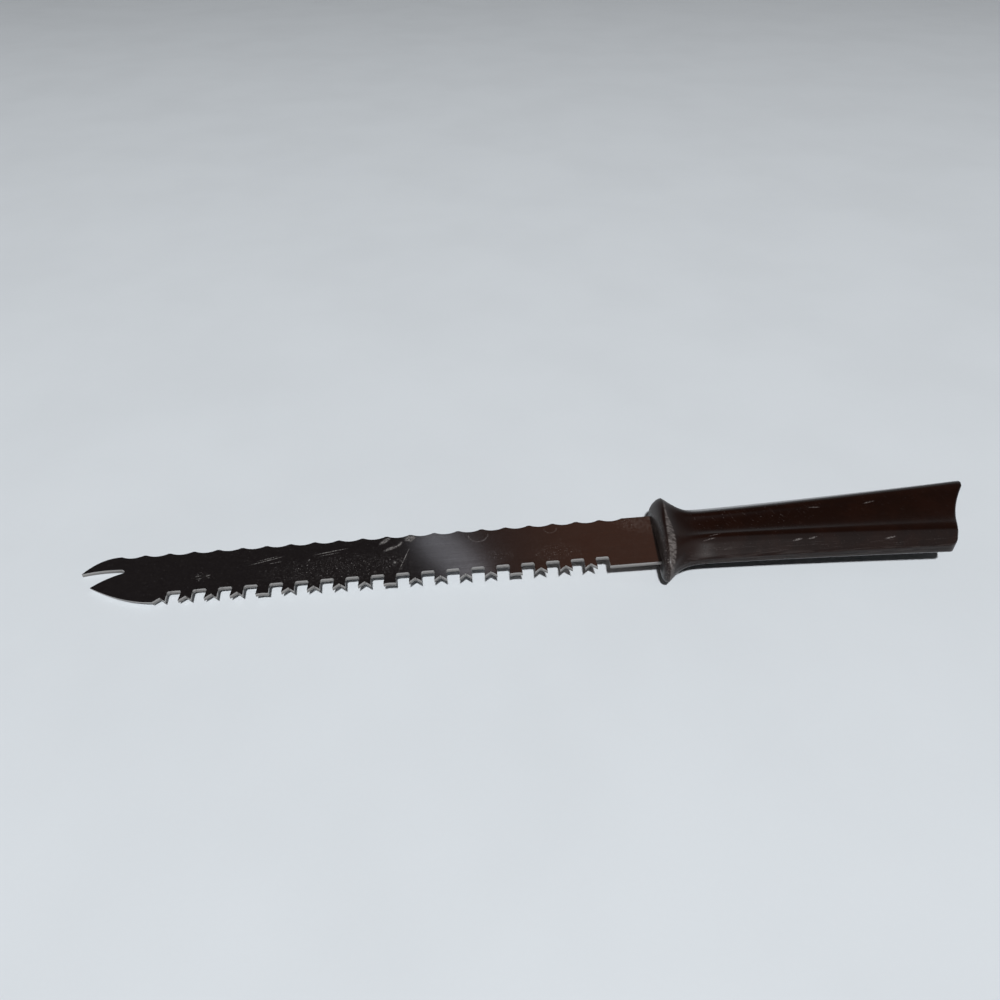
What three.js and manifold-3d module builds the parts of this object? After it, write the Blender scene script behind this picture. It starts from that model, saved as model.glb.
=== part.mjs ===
// Forked carving saw: a stamped steel blade with saw teeth along one edge and ground scallops along
// the other, pinned by its tang between the two halves of a moulded handle.
// Sizes are millimetres. In the knife's own axes X runs from tip to butt and is 0 where the blade
// leaves the guard, Y points to the scalloped edge, and Z is 0 in the middle of the blade.
import * as THREE from 'three';
import { mergeVertices } from 'three/addons/utils/BufferGeometryUtils.js';
import Module from 'manifold-3d';

const wasm = await Module();
wasm.setup();

const { degToRad, lerp } = THREE.MathUtils;

// Blade strip, measured from the longer point of the fork to the guard
const BLADE_LENGTH = 219;
const BLADE_WIDTH = 25.4;
const BLADE_THICKNESS = 1.5;

// Forked tip: a curved horn on the scalloped side and a spear point on the toothed side.
// Lengths and setbacks run back from the horn's point, drops run in from the scalloped edge.
const HORN_LENGTH = 12.5;
const HORN_DROP = 7.9;
const HORN_WIDTH = 7;
const HORN_ARCH = 0.7;
const SPEAR_SETBACK = 5.4;
const SPEAR_DROP = 15.5;
const FORK_DEPTH = 16.1;
const FORK_DROP = 8.4;
const FORK_ROUND = 1;
const BELLY_LENGTH = 30;
const BELLY_BULGE = 2.1;

// Saw teeth: square gullets between teeth with notched crowns, and a flat raker tooth now and then
const TOOTH_PITCH = 9.35;
const TOOTH_HEIGHT = 4.9;
const TOOTH_TIP_WIDTH = 4.7;
const TOOTH_ROOT_WIDTH = 4.1;
const GULLET_RADIUS = 0.9;
const NOTCH_DEPTH = 2;
const NOTCH_ROUND = 0.5;
const RAKER_EVERY = 5;
const RAKER_HOLLOW = 0.25;
const HEEL_LENGTH = 20;

// Scallops hollow ground from the under side alone, and the bevel ground under the belly
const SCALLOP_PITCH = 9.33;
const SCALLOP_DEPTH = 1.1;
const SCALLOP_CREST = 0.9;
const SCALLOP_STOP = 10;
const GRIND_ANGLE = degToRad(27);
const BELLY_LAND = 0.6;

// Tang inside the handle, and the pins through it, placed from the guard and from the tang's end
const SHOULDER_DEPTH = 4;
const TANG_LENGTH = 92;
const TANG_WIDTH = 14;
const PIN_DIAMETER = 4;
const PIN_LENGTH = 6;
const PIN_FIRST = 26;
const PIN_LAST = 20;

// Handle: a domed front at the blade, a flared guard, a waist, and a grip that widens to the butt.
// A side is the height over the middle at which the upright side turns into a facet, and a facet is the
// width of the slope from there to the ridge. Wear is the height rubbed off the crests on which it lies.
const HANDLE_LENGTH = 128.9;
const COLLAR_WIDTH = 32;
const COLLAR_THICKNESS = 6;
const COLLAR_SLANT = degToRad(3);
const GUARD_WIDTH = 39.8;
const GUARD_THICKNESS = 17.8;
const GUARD_CREST = 3.4;
const GUARD_SLANT = degToRad(7);
const GUARD_SIDE = 0.75;
const CREST_WEAR = 0.3;
const WAIST_SETBACK = 18;
const WAIST_WIDTH = 27.7;
const WAIST_THICKNESS = 12.6;
const WAIST_SIDE = 1.5;
const WAIST_FACET = 6.8;
const BUTT_WIDTH = 36.5;
const BUTT_THICKNESS = 12;
const BUTT_SIDE = 2.1;
const BUTT_FACET = 4.3;
const BUTT_SLANT = degToRad(29.2);
const BUTT_HOLLOW = 1.5;
const BUTT_ROUND = 2;
const BUTT_CORNER = 2.5;
const DISH_DEPTH = 1.9;

// Shares that bend the curves: where along a curve its corner lies, or how fast a form falls away
const HORN_BEND = 0.38;
const ARCH_BEND = 0.45;
const SPEAR_BEND = 0.45;
const SPEAR_SWELL = 0.68;
const BELLY_BEND = 0.55;
const BELLY_SWELL = 0.7;
const SIDE_ROUND_SHARE = 0.4;
const RIDGE_ROUND_SHARE = 0.35;
const GUARD_ROUND_SHARE = 0.97;
const FLARE_EASE = 2.7;
const GRIP_SWELL = 1.27;

// Clearances between the pieces
const FIT = 0.3;
const SEAM_GAP = 0.3;

// Fineness of the curves
const CURVE_STEPS = 6;
const WHEEL_SIDES = 96;
const PIN_SIDES = 24;
const DOME_STATIONS = 6;
const FLARE_STATIONS = 12;
const GRIP_STATIONS = 10;

const EDGE = BLADE_WIDTH / 2;
const TIP = -BLADE_LENGTH;
const HALF_BLADE = BLADE_THICKNESS / 2;
const TOOTH_COUNT = Math.floor((BLADE_LENGTH - HEEL_LENGTH - BELLY_LENGTH) / TOOTH_PITCH);
const ROW_FRONT = -HEEL_LENGTH - TOOTH_COUNT * TOOTH_PITCH;
const HEEL_MIDDLE = -HEEL_LENGTH / 2;
const SCALLOP_COUNT = Math.floor((BLADE_LENGTH - HORN_LENGTH - SCALLOP_STOP) / SCALLOP_PITCH);
const SPEAR_X = TIP + SPEAR_SETBACK;
const SPEAR_Y = EDGE - SPEAR_DROP;
const PIN_PLACES = [PIN_FIRST, TANG_LENGTH - PIN_LAST];
const CLEAR = GUARD_WIDTH + GUARD_THICKNESS;
const WORN_CREST = GUARD_THICKNESS / 2 - CREST_WEAR;
const REST_ANGLE = Math.atan2(WORN_CREST - HALF_BLADE, GUARD_CREST - TIP);

// A closed geometry as a solid that can be joined and cut
function solidOf(geometry) {
  const bare = geometry.clone();
  bare.deleteAttribute('normal');
  bare.deleteAttribute('uv');
  const merged = mergeVertices(bare);
  const vertProperties = new Float32Array(merged.attributes.position.array);
  const triVerts = new Uint32Array(merged.index.array);
  return new wasm.Manifold(new wasm.Mesh({ numProp: 3, vertProperties, triVerts }));
}

// A solid's faces as a geometry that a mesh can carry
function geometryOf(solid) {
  const { vertProperties, triVerts } = solid.getMesh();
  const geometry = new THREE.BufferGeometry();
  geometry.setAttribute('position', new THREE.BufferAttribute(vertProperties, 3));
  geometry.setIndex(new THREE.BufferAttribute(triVerts, 1));
  geometry.computeVertexNormals();
  return geometry;
}

// An outline raised evenly on both sides of the middle plane
function plate(outline, thickness) {
  const options = { depth: thickness, bevelEnabled: false, curveSegments: CURVE_STEPS };
  return new THREE.ExtrudeGeometry(outline, options).translate(0, 0, -thickness / 2);
}

// A round pin, or the hole for one, standing across the middle plane
function dowel(place, radius, length) {
  const geometry = new THREE.CylinderGeometry(radius, radius, length, PIN_SIDES);
  return geometry.rotateX(Math.PI / 2).translate(place, 0, 0);
}

// The blade's full-width shoulder and round-ended tang behind a front line, grown by a clearance
function tangOutline(front, grow) {
  const half = TANG_WIDTH / 2 + grow;
  const shoulder = SHOULDER_DEPTH + grow;
  const roundEnd = TANG_LENGTH + grow - half;
  const outline = new THREE.Shape();
  outline.moveTo(front, EDGE + grow);
  outline.lineTo(shoulder, EDGE + grow);
  outline.lineTo(shoulder, half);
  outline.lineTo(roundEnd, half);
  outline.absarc(roundEnd, 0, half, Math.PI / 2, -Math.PI / 2, true);
  outline.lineTo(shoulder, -half);
  outline.lineTo(shoulder, -EDGE - grow);
  outline.lineTo(front, -EDGE - grow);
  return outline;
}

// One gullet from its rear wall forward, undercut a little and rounded at its root
function addGullet(outline, rear) {
  const flare = (TOOTH_TIP_WIDTH - TOOTH_ROOT_WIDTH) / 2;
  const front = rear - TOOTH_PITCH + TOOTH_TIP_WIDTH;
  const root = TOOTH_HEIGHT - EDGE;
  const lean = flare * (1 - GULLET_RADIUS / TOOTH_HEIGHT);
  outline.lineTo(rear, -EDGE);
  outline.lineTo(rear + lean, root - GULLET_RADIUS);
  outline.quadraticCurveTo(rear + flare, root, rear + flare - GULLET_RADIUS, root);
  outline.lineTo(front - flare + GULLET_RADIUS, root);
  outline.quadraticCurveTo(front - flare, root, front - lean, root - GULLET_RADIUS);
  outline.lineTo(front, -EDGE);
}

// One tooth's crown, ending at its front point: a rounded notch, or the shallow hollow of a raker
function addCrown(outline, front, isRaker) {
  const half = TOOTH_TIP_WIDTH / 2;
  const middle = front + half;
  if (isRaker) {
    outline.quadraticCurveTo(middle, 2 * RAKER_HOLLOW - EDGE, front, -EDGE);
    return;
  }
  const apex = NOTCH_DEPTH - EDGE;
  const shoulder = apex - NOTCH_DEPTH * NOTCH_ROUND / half;
  outline.lineTo(middle + NOTCH_ROUND, shoulder);
  outline.quadraticCurveTo(middle, apex, middle - NOTCH_ROUND, shoulder);
  outline.lineTo(front, -EDGE);
}

// The curved belly between the first tooth and the spear point
function addBelly(outline) {
  const turnX = lerp(SPEAR_X, ROW_FRONT, BELLY_BEND);
  const turnY = lerp(SPEAR_Y, -EDGE, BELLY_SWELL) - BELLY_BULGE;
  outline.quadraticCurveTo(turnX, turnY, SPEAR_X, SPEAR_Y);
}

// The gap of the fork: up the spear's back, round the root and out along the horn's inner edge
function addFork(outline) {
  const root = TIP + FORK_DEPTH;
  const middle = EDGE - FORK_DROP;
  const mouth = root - FORK_ROUND * Math.SQRT2;
  const spearBack = middle - FORK_ROUND;
  const hornInner = EDGE - HORN_WIDTH;
  const swellX = lerp(SPEAR_X, mouth, SPEAR_BEND);
  const swellY = lerp(SPEAR_Y, spearBack, SPEAR_SWELL);
  outline.quadraticCurveTo(swellX, swellY, mouth, spearBack);
  outline.quadraticCurveTo(root, middle - FORK_ROUND / 2, root, middle);
  outline.quadraticCurveTo(root, (middle + 2 * hornInner) / 3, mouth, hornInner);
  outline.quadraticCurveTo(lerp(TIP, mouth, ARCH_BEND), hornInner + HORN_ARCH, TIP, EDGE - HORN_DROP);
}

// The blade as far as the middle of its heel: the horn, the scalloped edge, and back along the teeth
function cuttingOutline() {
  const outline = new THREE.Shape();
  outline.moveTo(TIP, EDGE - HORN_DROP);
  outline.quadraticCurveTo(TIP + HORN_LENGTH * HORN_BEND, EDGE, TIP + HORN_LENGTH, EDGE);
  outline.lineTo(HEEL_MIDDLE, EDGE);
  outline.lineTo(HEEL_MIDDLE, -EDGE);
  for (let cell = 0; cell < TOOTH_COUNT; cell += 1) {
    const rear = -HEEL_LENGTH - cell * TOOTH_PITCH;
    addGullet(outline, rear);
    addCrown(outline, rear - TOOTH_PITCH, (TOOTH_COUNT - cell) % RAKER_EVERY === 0);
  }
  addBelly(outline);
  addFork(outline);
  return outline;
}

// Grinding wheels laid at an angle under the scalloped edge, one for each scallop
function scallopWheels() {
  const bite = SCALLOP_DEPTH * Math.sin(GRIND_ANGLE);
  const reach = (SCALLOP_PITCH - SCALLOP_CREST) / 2;
  const radius = (reach ** 2 + bite ** 2) / (2 * bite);
  const wheel = new THREE.CylinderGeometry(radius, radius, CLEAR, WHEEL_SIDES);
  wheel.rotateX(GRIND_ANGLE);
  wheel.translate(
    TIP + HORN_LENGTH + SCALLOP_PITCH / 2,
    EDGE - SCALLOP_DEPTH + radius * Math.sin(GRIND_ANGLE),
    HALF_BLADE - radius * Math.cos(GRIND_ANGLE),
  );
  const places = Array.from({ length: SCALLOP_COUNT }, (unused, k) => k * SCALLOP_PITCH);
  return places.map((place) => solidOf(wheel.clone().translate(place, 0, 0)));
}

// What the grinder takes off under the belly: everything outside its curve, leaning in as it goes down
function bellyGrind() {
  const outline = new THREE.Shape();
  outline.moveTo(ROW_FRONT, -EDGE);
  addBelly(outline);
  outline.lineTo(SPEAR_X - EDGE, SPEAR_Y);
  outline.lineTo(SPEAR_X - EDGE, -BLADE_WIDTH);
  outline.lineTo(ROW_FRONT - EDGE, -BLADE_WIDTH);
  const run = 1 / Math.tan(GRIND_ANGLE);
  const geometry = plate(outline, BLADE_THICKNESS).translate(0, 0, -HALF_BLADE);
  geometry.applyMatrix4(new THREE.Matrix4().makeShear(0, 0, 0, 0, 0, -run));
  return solidOf(geometry.translate(0, 0, HALF_BLADE - BELLY_LAND));
}

function bladeGeometry() {
  const holes = PIN_PLACES.map((place) => solidOf(dowel(place, PIN_DIAMETER / 2 + FIT, CLEAR)));
  const cuts = [...scallopWheels(), bellyGrind(), ...holes];
  const cuttingLength = solidOf(plate(cuttingOutline(), BLADE_THICKNESS));
  const heel = solidOf(plate(tangOutline(HEEL_MIDDLE, 0), BLADE_THICKNESS));
  return geometryOf(cuts.reduce((blade, cut) => blade.subtract(cut), cuttingLength.add(heel)));
}

// The handle's measures at its four named places. The two at the guard are plain ovals.
const OVAL = { side: GUARD_SIDE, facet: 0, dish: 0, round: GUARD_ROUND_SHARE };
const RIDGED = { dish: DISH_DEPTH, round: RIDGE_ROUND_SHARE };
const COLLAR = { ...OVAL, width: COLLAR_WIDTH, thickness: COLLAR_THICKNESS, slant: Math.tan(COLLAR_SLANT) };
const GUARD = { ...OVAL, width: GUARD_WIDTH, thickness: GUARD_THICKNESS, slant: Math.tan(GUARD_SLANT) };
const WAIST = {
  ...RIDGED,
  width: WAIST_WIDTH,
  thickness: WAIST_THICKNESS,
  side: WAIST_SIDE,
  facet: WAIST_FACET,
  slant: GUARD.slant,
};
const BUTT = {
  ...RIDGED,
  width: BUTT_WIDTH,
  thickness: BUTT_THICKNESS,
  side: BUTT_SIDE,
  facet: BUTT_FACET,
  slant: 0,
};

function blend(from, to, share) {
  return Object.fromEntries(Object.keys(from).map((key) => [key, lerp(from[key], to[key], share)]));
}

// The handle's measures at a distance behind the blade's shoulder line
function handleAt(x) {
  if (x < GUARD_CREST) {
    return blend(COLLAR, GUARD, Math.sqrt(1 - (1 - x / GUARD_CREST) ** 2));
  }
  if (x < WAIST_SETBACK) {
    const share = (x - GUARD_CREST) / (WAIST_SETBACK - GUARD_CREST);
    return blend(GUARD, WAIST, 1 - (1 - share) ** FLARE_EASE);
  }
  const share = (x - WAIST_SETBACK) / (HANDLE_LENGTH - WAIST_SETBACK);
  return blend(WAIST, BUTT, share ** GRIP_SWELL);
}

// Half of the handle's section: rounded side, facet, rounded ridge, dished face, and down again
function sectionAt(x) {
  const { width, thickness, side, facet, dish, round, slant } = handleAt(x);
  const seam = new THREE.Vector2(width / 2, SEAM_GAP / 2);
  const turn = new THREE.Vector2(seam.x, side);
  const ridge = new THREE.Vector2(seam.x - facet, thickness / 2);
  const valley = new THREE.Vector2(0, thickness / 2 - dish);
  const wall = turn.clone().lerp(seam, SIDE_ROUND_SHARE);
  const foot = turn.clone().lerp(ridge, SIDE_ROUND_SHARE * (1 - round));
  const brow = ridge.clone().lerp(turn, round);
  const top = ridge.clone().lerp(valley, round);
  const path = new THREE.Path();
  path.moveTo(-seam.x, seam.y);
  path.lineTo(-wall.x, wall.y);
  path.quadraticCurveTo(-turn.x, turn.y, -foot.x, foot.y);
  path.lineTo(-brow.x, brow.y);
  path.quadraticCurveTo(-ridge.x, ridge.y, -top.x, top.y);
  path.quadraticCurveTo(valley.x, valley.y, top.x, top.y);
  path.quadraticCurveTo(ridge.x, ridge.y, brow.x, brow.y);
  path.lineTo(foot.x, foot.y);
  path.quadraticCurveTo(turn.x, turn.y, wall.x, wall.y);
  path.lineTo(seam.x, seam.y);
  const points = path.getPoints(CURVE_STEPS);
  return points.map((point) => new THREE.Vector3(x + slant * point.x, point.x, point.y));
}

// Places of the sections, closer together where the form turns faster
function stations() {
  const dome = (k) => GUARD_CREST * (1 - Math.cos(k / DOME_STATIONS * Math.PI / 2));
  const flare = (k) => lerp(GUARD_CREST, WAIST_SETBACK, k / FLARE_STATIONS);
  const grip = (k) => lerp(WAIST_SETBACK, HANDLE_LENGTH + BUTT_ROUND, k / GRIP_STATIONS);
  return [
    ...Array.from({ length: DOME_STATIONS }, (unused, k) => dome(k)),
    ...Array.from({ length: FLARE_STATIONS }, (unused, k) => flare(k)),
    ...Array.from({ length: GRIP_STATIONS + 1 }, (unused, k) => grip(k)),
  ];
}

// The flat face that closes one end of a loft
function endFace(section, first, facesButt) {
  const last = first + section.length - 1;
  const outline = section.map((point) => new THREE.Vector2(point.y, point.z)).reverse();
  const triangles = THREE.ShapeUtils.triangulateShape(outline, []);
  const turn = ([a, b, c]) => (facesButt ? [last - a, last - b, last - c] : [last - a, last - c, last - b]);
  return triangles.flatMap(turn);
}

// A skin over a row of sections that have the same number of points
function loft(sections) {
  const count = sections[0].length;
  const rows = sections.length - 1;
  const faces = [...endFace(sections[0], 0, false), ...endFace(sections[rows], rows * count, true)];
  for (let row = 0; row < rows; row += 1) {
    for (let k = 0; k < count; k += 1) {
      const a = row * count + k;
      const b = row * count + (k + 1) % count;
      faces.push(a, a + count, b + count, a, b + count, b);
    }
  }
  const geometry = new THREE.BufferGeometry().setFromPoints(sections.flat());
  geometry.setIndex(faces);
  return geometry;
}

// The plan that trims the butt: slanted and hollow, round at the toothed side, sharper at the other
function buttOutline() {
  const lean = Math.tan(BUTT_SLANT);
  const halfAt = (x) => handleAt(x).width / 2;
  const far = halfAt(HANDLE_LENGTH);
  const endAt = (y) => HANDLE_LENGTH - (far - y) * lean;
  const near = -halfAt(endAt(-far));
  const roundStart = endAt(near) - BUTT_ROUND;
  const roundEnd = near + BUTT_ROUND * Math.cos(BUTT_SLANT);
  const cornerStart = far - BUTT_CORNER * Math.cos(BUTT_SLANT);
  const cornerEnd = HANDLE_LENGTH - BUTT_CORNER;
  const middle = (roundEnd + cornerStart) / 2;
  const hollowX = endAt(middle) - 2 * BUTT_HOLLOW * Math.cos(BUTT_SLANT);
  const hollowY = middle + 2 * BUTT_HOLLOW * Math.sin(BUTT_SLANT);
  const outline = new THREE.Shape();
  outline.moveTo(-CLEAR, -CLEAR);
  outline.lineTo(roundStart, -CLEAR);
  outline.lineTo(roundStart, -halfAt(roundStart));
  outline.quadraticCurveTo(endAt(near), near, endAt(roundEnd), roundEnd);
  outline.quadraticCurveTo(hollowX, hollowY, endAt(cornerStart), cornerStart);
  outline.quadraticCurveTo(HANDLE_LENGTH, far, cornerEnd, halfAt(cornerEnd));
  outline.lineTo(cornerEnd, CLEAR);
  outline.lineTo(-CLEAR, CLEAR);
  return outline;
}

// What a table rubs off a crest of the guard while the knife lies on it and on the point of its horn
function crestWear() {
  const slab = new THREE.BoxGeometry(CLEAR, CLEAR, CLEAR).translate(0, 0, CLEAR / 2);
  return solidOf(slab.rotateY(-REST_ANGLE).translate(GUARD_CREST, 0, WORN_CREST));
}

// One half of the handle, above the middle plane
function handleHalf() {
  const body = solidOf(loft(stations().map(sectionAt)));
  const trim = solidOf(plate(buttOutline(), CLEAR));
  const pocket = solidOf(plate(tangOutline(-CLEAR, FIT), BLADE_THICKNESS + 2 * FIT));
  const hole = (place) => solidOf(dowel(place, PIN_DIAMETER / 2 + FIT, PIN_LENGTH + 2 * FIT));
  const cuts = [pocket, crestWear(), ...PIN_PLACES.map(hole)];
  return geometryOf(cuts.reduce((half, cut) => half.subtract(cut), body.intersect(trim)));
}

// The same shape on the other side of the middle plane, with its faces turned to point out again
function mirrored(geometry) {
  const copy = geometry.clone().scale(1, 1, -1);
  const corners = copy.index.array;
  for (let k = 0; k < corners.length; k += 3) {
    [corners[k], corners[k + 1]] = [corners[k + 1], corners[k]];
  }
  copy.computeVertexNormals();
  return copy;
}

function piece(name, geometry, color, roughness, metalness) {
  const material = new THREE.MeshStandardMaterial({ color, roughness, metalness });
  const mesh = new THREE.Mesh(geometry, material);
  mesh.name = name;
  return mesh;
}

const pinGeometry = (place) => geometryOf(solidOf(dowel(place, PIN_DIAMETER / 2, PIN_LENGTH)));
const upperHalf = handleHalf();
const knife = new THREE.Group();
knife.add(
  piece('blade', bladeGeometry(), 0x77716e, 0.3, 1),
  piece('handle_upper_half', upperHalf, 0x2b1d18, 0.4, 0),
  piece('handle_lower_half', mirrored(upperHalf), 0x2b1d18, 0.4, 0),
  piece('tang_pin_front', pinGeometry(PIN_PLACES[0]), 0x9a9896, 0.4, 1),
  piece('tang_pin_rear', pinGeometry(PIN_PLACES[1]), 0x9a9896, 0.4, 1),
);

// At rest on a table, with the origin under the middle of the whole
knife.rotation.y = -REST_ANGLE;
knife.updateMatrixWorld(true);
const box = new THREE.Box3().setFromObject(knife, true);
const middle = box.getCenter(new THREE.Vector3());
knife.position.set(-middle.x, -middle.y, -box.min.z);

export default knife;
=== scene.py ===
"""Looks of a forked carving saw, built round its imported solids.

The file is laid out as an add-on and is run as a script. Meshes are in metres. Most sizes belong to the
knife's own axes: X runs from tip to butt and is 0 where the blade leaves the guard, Y points to the
scalloped edge, and Z is 0 in the middle of the blade. Marks in the finishes are in millimetres there.
"""

import math

import bmesh
import bpy
import numpy as np
from bpy.props import FloatProperty, FloatVectorProperty, IntProperty, PointerProperty
from mathutils import Euler, Matrix, Vector


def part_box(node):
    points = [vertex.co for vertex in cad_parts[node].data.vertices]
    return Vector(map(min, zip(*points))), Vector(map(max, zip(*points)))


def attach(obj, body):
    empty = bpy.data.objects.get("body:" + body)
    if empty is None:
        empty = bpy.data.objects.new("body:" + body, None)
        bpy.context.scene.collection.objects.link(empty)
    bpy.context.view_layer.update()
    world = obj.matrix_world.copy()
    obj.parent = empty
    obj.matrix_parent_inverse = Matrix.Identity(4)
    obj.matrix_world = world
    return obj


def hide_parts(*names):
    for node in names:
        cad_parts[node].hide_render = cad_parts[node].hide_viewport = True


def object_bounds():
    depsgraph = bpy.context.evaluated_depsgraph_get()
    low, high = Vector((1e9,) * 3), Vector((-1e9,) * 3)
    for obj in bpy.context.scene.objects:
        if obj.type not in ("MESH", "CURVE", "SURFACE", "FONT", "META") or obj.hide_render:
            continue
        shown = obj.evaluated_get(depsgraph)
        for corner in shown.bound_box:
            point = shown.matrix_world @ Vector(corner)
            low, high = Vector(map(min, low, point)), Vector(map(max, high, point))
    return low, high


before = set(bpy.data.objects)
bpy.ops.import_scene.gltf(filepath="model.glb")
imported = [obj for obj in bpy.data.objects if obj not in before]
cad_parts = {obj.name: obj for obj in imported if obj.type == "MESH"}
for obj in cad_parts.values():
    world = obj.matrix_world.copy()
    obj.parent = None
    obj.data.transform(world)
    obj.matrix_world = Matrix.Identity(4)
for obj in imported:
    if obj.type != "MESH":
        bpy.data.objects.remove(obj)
CAD_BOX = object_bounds()

bl_info = {
    "name": "Forked carving saw",
    "version": (1, 0, 0),
    "blender": (4, 5, 0),
    "location": "View3D > Sidebar > Carving Saw",
    "description": "Blade, handle and stage of a forked carving saw",
    "category": "Add Mesh",
}

KNIFE_MIDDLE = sum(CAD_BOX, Vector()) / 2
MM = 0.001
BODY = "root"

# Fineness of the curves
CURVE_STEPS = 12
WHEEL_SIDES = 288
ROUND_SIDES = 48
CORNER_STEPS = 6
DOME_ROWS = 16
FLARE_ROWS = 44
GRIP_ROWS = 60
RIM_ROWS = 5
BUTT_SAMPLES = 240

# Steps of the section's side, rounding, facet, ridge and face, and the station where it ends
SECTION_STEPS = (1, 10, 12, 18, 36)
LAST_STATION = 9

# Halvings in the search for where the skin meets the butt
BISECTIONS = 40

# How far a cutter runs past what it cuts
CUT_MARGIN = 1 * MM
MERGE_GAP = 0.001 * MM

# Share of a crown's width that its notch takes, so that the points keep a little steel
CROWN_SHARE = 0.97

# Thickness of a cutter that goes right through, in thicknesses of the strip
CUTTER_THICKNESS = 3

# Bends of the blade's curves, as shares of the way along and across
BELLY_BEND = (0.55, 0.7)
SPEAR_SWELL = (0.45, 0.68)
HORN_ARCH_PLACE = 0.45
HORN_BEND = 0.38

# The remainder of a whole number counts as none below this
NO_REMAINDER = 0.5

# How far down the normal of a ground face points, and how upright the normals of the strip's own faces are
GROUND_NORMAL = -0.3
FACE_NORMAL = 0.98

# Faces that meet at fewer degrees than this are shaded as one
BLADE_SMOOTHING = 25
HANDLE_SMOOTHING = 35

# How closely the flare's rows crowd towards the guard
FLARE_CROWDING = 1.4

# Height over the worn crest, in softnesses, from which it is simply flat
FULLY_WORN = 40

# Thickness of the floor as a share of half its side, and brightness of its darker clouds
FLOOR_DEPTH = 0.01
FLOOR_CLOUD = 0.94

# Reach of an oval mark through the thickness, in millimetres
THROUGH = 1000

# Share of a speckle's radius that is solid
SPECKLE_CORE = 0.4

# Turn of the short rubbed lines on the grip
HATCH_TURN = math.radians(-28)

# Directions from the knife: middle and reach of the dark wall behind it, and of the warm part of that wall
DARK_WALL = ((0.06, 0.76, 0.66), (1.5, 0.9, 0.42))
WARM_PART = ((0.36, 0.72, 0.66), (0.46, 0.6, 0.4))


def number(title, text, value, **kind):
    """A number that the panel shows, with its unit or subtype."""
    return FloatProperty(name=title, description=text, default=value, **kind)


def size(title, text, millimetres):
    """A length that the panel shows, given here in millimetres."""
    return number(title, text, millimetres * MM, unit="LENGTH", precision=5)


def angle(title, text, degrees):
    """An angle that the panel shows, given here in degrees."""
    return number(title, text, math.radians(degrees), subtype="ANGLE")


def share(title, text, value):
    """A plain factor that bends or scales a form."""
    return number(title, text, value, subtype="FACTOR", min=0, soft_max=1)


def colour(title, text, red, green, blue):
    """A linear colour."""
    kind = {"size": 3, "subtype": "COLOR", "min": 0, "max": 1}
    return FloatVectorProperty(name=title, description=text, default=(red, green, blue), **kind)


def position(title, text, x, y, z):
    """A place or a shift that the panel shows, given here in millimetres."""
    value = (x * MM, y * MM, z * MM)
    kind = {"size": 3, "subtype": "TRANSLATION", "unit": "LENGTH"}
    return FloatVectorProperty(name=title, description=text, default=value, **kind)


class BladeSizes(bpy.types.PropertyGroup):
    """The stamped and ground blade."""

    length: size("Length", "From the longer point of the fork to the guard", 219)
    width: size("Width", "Across the steel strip", 25.4)
    thickness: size("Thickness", "Of the steel strip", 1.5)
    horn_length: size("Horn length", "Curved run of the horn's outer edge", 12.5)
    horn_drop: size("Horn drop", "From the scalloped edge in to the horn's point", 7.9)
    horn_width: size("Horn width", "Across the horn at its root", 7)
    horn_arch: size("Horn arch", "Rise of the horn's inner edge", 0.7)
    spear_setback: size("Spear setback", "From the horn's point back to the spear's point", 5.4)
    spear_drop: size("Spear drop", "From the scalloped edge in to the spear's point", 15.5)
    fork_depth: size("Fork depth", "From the horn's point to the root of the fork", 16.1)
    fork_drop: size("Fork drop", "From the scalloped edge in to the fork's middle", 8.4)
    fork_round: size("Fork round", "Rounding of the fork's root", 1)
    belly_length: size("Belly length", "Most of the length in front of the first tooth", 30)
    belly_bulge: size("Belly bulge", "Fullness of the curved edge in front of the teeth", 2.1)
    tooth_pitch: size("Tooth pitch", "From one tooth to the next", 9.35)
    tooth_height: size("Tooth height", "Depth of the gullets", 4.9)
    tooth_tip: size("Tooth tip", "Width of a tooth at its crown", 4.7)
    tooth_root: size("Tooth root", "Width of a tooth at its root", 4.1)
    gullet_radius: size("Gullet radius", "Rounding of the gullet's corners", 0.9)
    notch_depth: size("Notch depth", "Depth of the notch in a crown", 1.9)
    notch_round: size("Notch round", "Rounding at the head of the notch", 0.35)
    notch_head: size("Notch head", "Width of the notch at its head", 0.3)
    raker_every: IntProperty(
        name="Raker every", description="One tooth in so many is a raker", default=5, min=2
    )
    raker_hollow: size("Raker hollow", "Depth of the hollow in a raker's crown", 0.25)
    heel_length: size("Heel length", "Plain length between the last gullet and the guard", 20)
    scallop_pitch: size("Scallop pitch", "From one scallop to the next", 9.33)
    scallop_depth: size("Scallop depth", "Depth of a scallop in the edge", 1.1)
    scallop_crest: size("Scallop crest", "Plain edge left between two scallops", 0.9)
    scallop_stop: size("Scallop stop", "Plain edge left in front of the guard", 10)
    grind_angle: angle("Grind angle", "Slope of the ground faces", 27)
    belly_land: size("Belly land", "Edge left square above the belly's bevel", 0.6)
    shoulder_depth: size("Shoulder depth", "Full width of blade inside the handle", 4)
    tang_length: size("Tang length", "Length of the tang inside the handle", 92)
    tang_width: size("Tang width", "Width of the tang", 14)


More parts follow.
